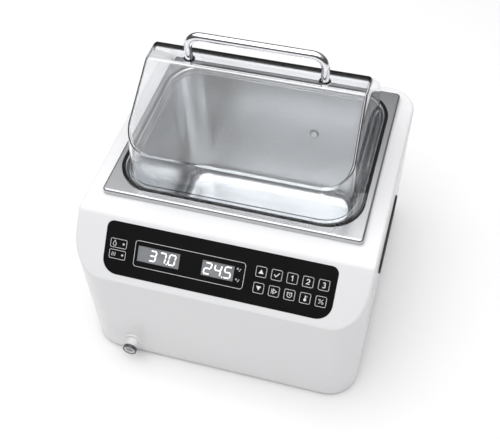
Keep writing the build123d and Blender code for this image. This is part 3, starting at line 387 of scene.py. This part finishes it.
# Material, two colours, roughness, grains a metre, depth of the grain in metres, and how metallic it is.
# Each is named after the slot that it is for.
PLAIN_FINISHES = (
    ("base_steel", (0.5, 0.5, 0.5), (0.46, 0.46, 0.47), 0.5, 900, 0.00003, 0.3),
    ("screw_steel", (0.6, 0.6, 0.62), (0.52, 0.52, 0.54), 0.3, 1500, 0.00001, 1.0),
    ("foot_rubber", (0.02, 0.02, 0.02), (0.035, 0.035, 0.035), 0.75, 1200, 0.00004),
    ("seal_rubber", (0.1, 0.1, 0.105), (0.14, 0.14, 0.145), 0.85, 1600, 0.00008),
    ("board_laminate", (0.02, 0.12, 0.05), (0.03, 0.17, 0.07), 0.35, 700, 0.00002),
    ("black_plastic", (0.012, 0.012, 0.013), (0.022, 0.022, 0.023), 0.5, 2200, 0.00002),
    ("post_brass", (0.72, 0.53, 0.25), (0.62, 0.44, 0.2), 0.3, 1500, 0.00001, 1.0),
    ("transformer_iron", (0.12, 0.12, 0.13), (0.2, 0.2, 0.2), 0.55, 1000, 0.00005, 0.6),
    ("terminal_plastic", (0.05, 0.2, 0.1), (0.06, 0.26, 0.12), 0.5, 1500, 0.00002),
    ("spreader_aluminium", (0.75, 0.75, 0.77), (0.68, 0.68, 0.7), 0.35, 1500, 0.00001, 1.0),
    ("mat_silicone", (0.5, 0.13, 0.06), (0.42, 0.1, 0.05), 0.7, 1200, 0.00006),
    ("cutout_case", (0.06, 0.045, 0.035), (0.09, 0.07, 0.05), 0.6, 1500, 0.00003),
    ("insulation_felt", (0.62, 0.6, 0.5), (0.5, 0.48, 0.4), 0.95, 600, 0.0004),
    ("drain_plastic", (0.86, 0.86, 0.86), (0.82, 0.82, 0.82), 0.25, 1500, 0.00001),
    ("poppet_plastic", (0.2, 0.2, 0.21), (0.26, 0.26, 0.27), 0.4, 1500, 0.00002),
    ("hose_silicone", (0.75, 0.74, 0.7), (0.68, 0.67, 0.63), 0.4, 900, 0.00003),
    ("clip_steel", (0.6, 0.6, 0.62), (0.5, 0.5, 0.52), 0.3, 1500, 0.00002, 1.0),
    ("lead_jacket", (0.03, 0.03, 0.033), (0.05, 0.05, 0.052), 0.6, 1500, 0.00003),
)
FINISHES = {
    "casing_plastic": casing_plastic(),
    "tank_steel": tank_steel(),
    "lid_clear": lid_clear(),
    "chrome_plate": chrome_plate(),
    "panel_film": panel_film(),
    "key_film": key_film(),
    "display_lcd": display_lcd(),
    "indicator_lens": indicator_lens(),
}
for values in PLAIN_FINISHES:
    FINISHES[values[0]] = plain(*values)

# The same by node, for nodes that look different from the rest of their slot
ODD_FINISHES = {
    "drain_collar": ("collar_steel", (0.16, 0.16, 0.165), (0.13, 0.13, 0.135), 0.3, 1500, 0.000002, 1.0),
    "drain_poppet": ("poppet_grey", (0.33, 0.33, 0.34), (0.28, 0.28, 0.29), 0.4, 1500, 0.000002),
    "temperature_probe": ("probe_steel", (0.85, 0.85, 0.86), (0.8, 0.8, 0.81), 0.35, 1500, 0.000002, 1.0),
}
NODE_FINISHES = {node: plain(*values) for node, values in ODD_FINISHES.items()}
INK = panel_ink().material
GLOW = digit_glow().material

for part in frame["record"]["subparts"]:
    mesh = frame["nodes"][part["node"]].data
    mesh.materials.clear()
    finish = NODE_FINISHES.get(part["node"], FINISHES[part["material_slot"]])
    mesh.materials.append(finish.material)


# ---------------------------------------------------------------- printed marks
def triangle(way):
    """Solid arrowhead that points up for 1 and down for -1."""
    return filled([(-3.1, -2.3 * way), (3.1, -2.3 * way), (0, 2.9 * way)])


def tick():
    return strip([(-3.0, 0.4), (-0.8, -2.1), (3.2, 2.6)], BOLD)


def number_one():
    return strip([(-1.5, 1.9), (0.3, 3.0), (0.3, -3.0)], BOLD)


def number_two():
    return strip(arc((0, 1.2), 1.8, 170, -35) + [(-1.8, -2.6), (2.1, -2.6)], BOLD)


def number_three():
    return strip(arc((0, 1.45), 1.5, 150, -80), BOLD) + strip(arc((0, -1.35), 1.65, 95, -150), BOLD)


def start_mark():
    """Two bars and an open arrowhead."""
    bars = strip([(-3.0, -3.0), (-3.0, 3.0)], LINE) + strip([(-1.9, -2.4), (-1.9, 2.4)], LINE)
    return bars + strip([(-0.8, -2.8), (3.2, 0), (-0.8, 2.8)], 0.8, closed=True)


def clock():
    """An alarm clock: rim, two bells and two hands."""
    rim = strip(circle((0, -0.3), 2.8, 28), 0.7, closed=True)
    bells = strip([(-3.2, 1.9), (-1.9, 3.1)], 0.8) + strip([(3.2, 1.9), (1.9, 3.1)], 0.8)
    return rim + bells + strip([(0, 1.3), (0, -0.4), (1.4, -0.4)], LINE)


def thermometer():
    """Bulb, stem and two scale lines."""
    faces = filled(circle((0, -1.9), 1.7, 20)) + strip([(0, -0.6), (0, 3.3)], 1.3)
    for height in (2.6, 1.2):
        faces += strip([(1.3, height), (2.4, height)], LINE)
    return faces


def unit_swap():
    """A stroke with a small ring on each side."""
    faces = strip([(-2.6, -2.9), (2.6, 2.9)], 0.6)
    for centre in ((-1.9, 1.7), (1.9, -1.7)):
        faces += strip(circle(centre, 1.0, 16), LINE, closed=True)
    return faces


KEY_MARKS = {
    "key_up": triangle(1),
    "key_set": tick(),
    "key_program_1": number_one(),
    "key_program_2": number_two(),
    "key_program_3": number_three(),
    "key_down": triangle(-1),
    "key_start": start_mark(),
    "key_timer": clock(),
    "key_calibrate": thermometer(),
    "key_unit": unit_swap(),
}
KEY_OUTLINE = strip(rounded_box(12.4, 12.4, 1.9), LINE, closed=True)


def key_legends():
    """Each key's outline and mark, printed on its cap, so that they move with it."""
    for key, mark in KEY_MARKS.items():
        at = (cap_centre(key) - slope_foot) / MM
        matrix = slope_matrix(at.x, at.dot(up_slope))
        relief(f"{key}_legend", KEY_OUTLINE + mark, matrix, INK_HEIGHT, key, INK)


def wave(x, y):
    """One rising wave of warm air."""
    half = WAVE_STEPS // 2
    points = []
    for step in range(-half, half + 1):
        points.append((x + WAVE_SWING * sin(2 * pi * step / WAVE_STEPS), y + WAVE_RISE * step))
    return strip(points, WAVE_WIDTH)


# Middle, size and corner radius of each outline printed on the panel
PANEL_FRAMES = (
    ((-125.6, 48.2), (20.6, 10.8), 1.6),
    ((-125.6, 34.4), (20.6, 10.8), 1.6),
    ((-35, 41), (138, 32), 3.6),
)


def panel_legends():
    """Outlines, a drop and rising waves by the indicators, and the two unit marks by the right display."""
    faces = []
    for centre, size, radius in PANEL_FRAMES:
        faces += strip(rounded_box(*size, radius, centre), LINE, closed=True)
    drop = arc((-130.6, 46.9), 2.0, -215, 35, 16) + [(-130.6, 51.6)]
    faces += strip(drop, 0.6, closed=True)
    for x in (-132.6, -130.6, -128.6):
        faces += wave(x, 34.4)
    for v in (47.2, 34.2):
        faces += strip(circle((25.2, v + 1.4), 0.9, 14), 0.45, closed=True)
        faces += strip([(27.0, v - 1.6), (29.0, v + 1.8)], 0.6)
    relief("panel_legend", faces, slope_matrix(), INK_HEIGHT, "base", INK)


# ---------------------------------------------------------------- lit digits
# Each bar's place in half widths and half heights of the digit, and its turn in degrees
SEGMENTS = {
    "a": (0, 1, 0),
    "b": (0.5, 0.5, 90),
    "c": (0.5, -0.5, 90),
    "d": (0, -1, 0),
    "e": (-0.5, -0.5, 90),
    "f": (-0.5, 0.5, 90),
    "g": (0, 0, 0),
}
DIGITS = {"0": "abcdef", "2": "abged", "3": "abgcd", "4": "fgbc", "5": "afgcd", "7": "abc"}


def segment(place, size, thick):
    """One bar of a digit, pointed at both ends."""
    x, y, turn = SEGMENTS[place]
    width, height = size
    half = (width if turn == 0 else height / 2) / 2 - thick * BAR_GAP
    point = thick / 2
    inner = half - point
    bar = [(-half, 0), (-inner, point), (inner, point), (half, 0), (inner, -point), (-inner, -point)]
    if turn:
        bar = [(-v, u) for u, v in bar]
    centre = (x * width, y * height / 2)
    return [(centre[0] + u + DIGIT_LEAN * (centre[1] + v), centre[1] + v) for u, v in bar]


def reading(text, size, pitch, thick):
    """Faces of a number in seven-segment digits, with its decimal point."""
    faces = []
    column = 0
    for letter in text:
        if letter == ".":
            dot = filled(circle((0, 0), thick * 0.5, 10))
            faces += moved(dot, ((column - 0.5) * pitch, -size[1] / 2))
            continue
        for place in DIGITS[letter]:
            faces += moved(filled(segment(place, size, thick)), (column * pitch, 0))
        column += 1
    return moved(faces, (-(column - 1) * pitch / 2, 0))


# Node, reading, shift across the window, digit size and pitch
DISPLAYS = (
    ("display_left", "37.0", 5.0, (7.6, 12.4), 12.2),
    ("display_right", "24.5", 0.0, (7.8, 13.4), 12.4),
)


def display_readings():
    """The lit digits, standing on the face of each display."""
    for name, text, across, size, pitch in DISPLAYS:
        low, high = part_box(name)
        foot = (low - slope_foot) / MM
        top = (high - slope_foot) / MM
        foot_v = (foot.y + DISPLAY_SUNK * outwards.y) / up_slope.y
        top_v = (top.z + DISPLAY_SUNK * outwards.z) / up_slope.z
        middle_x = (low.x + high.x) / 2 / MM
        matrix = slope_matrix(middle_x + across, (foot_v + top_v) / 2, -DISPLAY_SUNK)
        faces = reading(text, size, pitch, BAR_WIDTH)
        relief(f"{name}_digits", faces, matrix, BAR_HEIGHT, "base", GLOW)


# ---------------------------------------------------------------- probe and power rocker
def probe_shade_washer():
    """A dark sealing ring round the temperature probe's head, against the tank's rear wall, whose darkness is also
    painted shade round the head.
    """
    low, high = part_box("temperature_probe")
    face = Vector(((low.x + high.x) / 2, low.y + PROBE_HEAD * MM, (low.z + high.z) / 2))
    matrix = plane_matrix(face, ACROSS, Vector((0, 0, 1)), Vector((0, -1, 0)))
    ring = strip(circle((0, 0), WASHER_RADIUS, 32), WASHER_WIDTH, closed=True)
    # Dark rubber: a sealing ring, and painted shade round the probe's head
    dark = FINISHES["seal_rubber"].material
    relief("probe_shade_washer", ring, matrix, WASHER_HEIGHT, "base", dark)


# Middle of each half of the rocker's face, its lean in degrees, and the mark on it
ROCKER_FACES = {
    "power_rocker_bar": ((0.078, 0.19331, 0.0478), 0.2, strip([(0, -1.6), (0, 1.6)], 0.7)),
    "power_rocker_ring": ((0.078, 0.19412, 0.05554), 11.8, strip(circle((0, 0), 1.4, 20), 0.6, closed=True)),
}


def rocker_marks():
    """The bar and the ring printed on the two faces of the power rocker."""
    for name, (place, tilt, faces) in ROCKER_FACES.items():
        lean = radians(tilt)
        outward = Vector((0, cos(lean), -sin(lean)))
        up = Vector((0, sin(lean), cos(lean)))
        matrix = plane_matrix(place, -ACROSS, up, outward)
        relief(name, faces, matrix, 2 * INK_HEIGHT, "power_rocker", INK)


key_legends()
panel_legends()
display_readings()
probe_shade_washer()
rocker_marks()


# ---------------------------------------------------------------- floor, light and camera
# The floor's cells a side and how far it reaches from the middle, in metres
FLOOR_CELLS = 8
FLOOR_REACH = 4


def floor():
    """A pale floor under everything."""
    shape = bmesh.new()
    bmesh.ops.create_grid(shape, x_segments=FLOOR_CELLS, y_segments=FLOOR_CELLS, size=FLOOR_REACH)
    mesh = bpy.data.meshes.new("floor")
    shape.to_mesh(mesh)
    shape.free()
    mesh.materials.append(floor_paper().material)
    plane = bpy.data.objects.new("floor", mesh)
    bpy.context.scene.collection.objects.link(plane)


def softbox(name, place, aim, size, power):
    """A rectangular area light that faces a point."""
    light = bpy.data.lights.new(name, "AREA")
    light.shape = "RECTANGLE"
    light.size, light.size_y = size
    light.energy = power
    lamp = bpy.data.objects.new(name, light)
    lamp.location = place
    lamp.rotation_mode = "QUATERNION"
    lamp.rotation_quaternion = (Vector(aim) - Vector(place)).to_track_quat("-Z", "Y")
    bpy.context.scene.collection.objects.link(lamp)


# The room's brightness straight down, at heights between, and straight up
ROOM_LOWEST = 0.1
ROOM_BETWEEN = ((0.45, 0.1), (0.7, 0.5), (0.9, 1.0))
ROOM_HIGHEST = 1.0
# How much more blue than red those between hold, and what the camera sees behind everything
ROOM_BLUE = 1.02
BACKDROP = (0.85, 0.85, 0.86, 1)

# Each light's name, place, aim, size in metres and power in watts
LIGHTS = (
    ("top_light", (-0.3, -0.2, 2.2), (0, 0, 0.1), (3.4, 3.0), 50),
    ("front_light", (0.7, -1.3, 2.4), (0, 0, 0.15), (1.6, 1.2), 2),
)


def room_ramp(tree):
    """Colour of the room by height, as reflections show it."""
    place = tree.nodes.new("ShaderNodeTexCoord")
    split = tree.nodes.new("ShaderNodeSeparateXYZ")
    ramp = tree.nodes.new("ShaderNodeValToRGB")
    tree.links.new(place.outputs["Generated"], split.inputs["Vector"])
    tree.links.new(split.outputs["Z"], ramp.inputs["Fac"])
    stops = ramp.color_ramp.elements
    stops[0].position, stops[0].color = 0.0, (ROOM_LOWEST, ROOM_LOWEST, ROOM_LOWEST, 1)
    stops[1].position, stops[1].color = 1.0, (ROOM_HIGHEST, ROOM_HIGHEST, ROOM_HIGHEST, 1)
    for position, tone in ROOM_BETWEEN:
        stops.new(position).color = (tone, tone, tone * ROOM_BLUE, 1)
    return ramp.outputs["Color"]


def studio():
    """Two lights in a room that looks bright overhead and dark low down, behind a backdrop for the camera."""
    world = bpy.data.worlds.new("studio")
    bpy.context.scene.world = world
    world.use_nodes = True
    tree = world.node_tree
    background = next(n for n in tree.nodes if n.type == "BACKGROUND")
    factor, first, second, result = colour_mix(tree)
    tree.links.new(tree.nodes.new("ShaderNodeLightPath").outputs["Is Camera Ray"], factor)
    tree.links.new(room_ramp(tree), first)
    second.default_value = BACKDROP
    tree.links.new(result, background.inputs["Color"])
    background.inputs["Strength"].default_value = 1.0
    for light in LIGHTS:
        softbox(*light)
    bpy.context.scene.view_settings.view_transform = "Standard"


def camera():
    """A camera at the viewer's place: in front, a little to the right, looking steeply down."""
    data = bpy.data.cameras.new("camera")
    data.sensor_width = CAMERA_SENSOR
    data.lens = CAMERA_LENS
    data.shift_y = CAMERA_SHIFT
    eye = bpy.data.objects.new("camera", data)
    turn, tilt = radians(CAMERA_AZIMUTH), radians(CAMERA_ELEVATION)
    ahead = Vector((-sin(turn) * cos(tilt), cos(turn) * cos(tilt), -sin(tilt)))
    eye.location = CAMERA_PLACE
    eye.rotation_mode = "QUATERNION"
    eye.rotation_quaternion = ahead.to_track_quat("-Z", "Y") @ Quaternion((0, 0, 1), radians(CAMERA_ROLL))
    bpy.context.scene.collection.objects.link(eye)
    bpy.context.scene.camera = eye


floor()
studio()
camera()
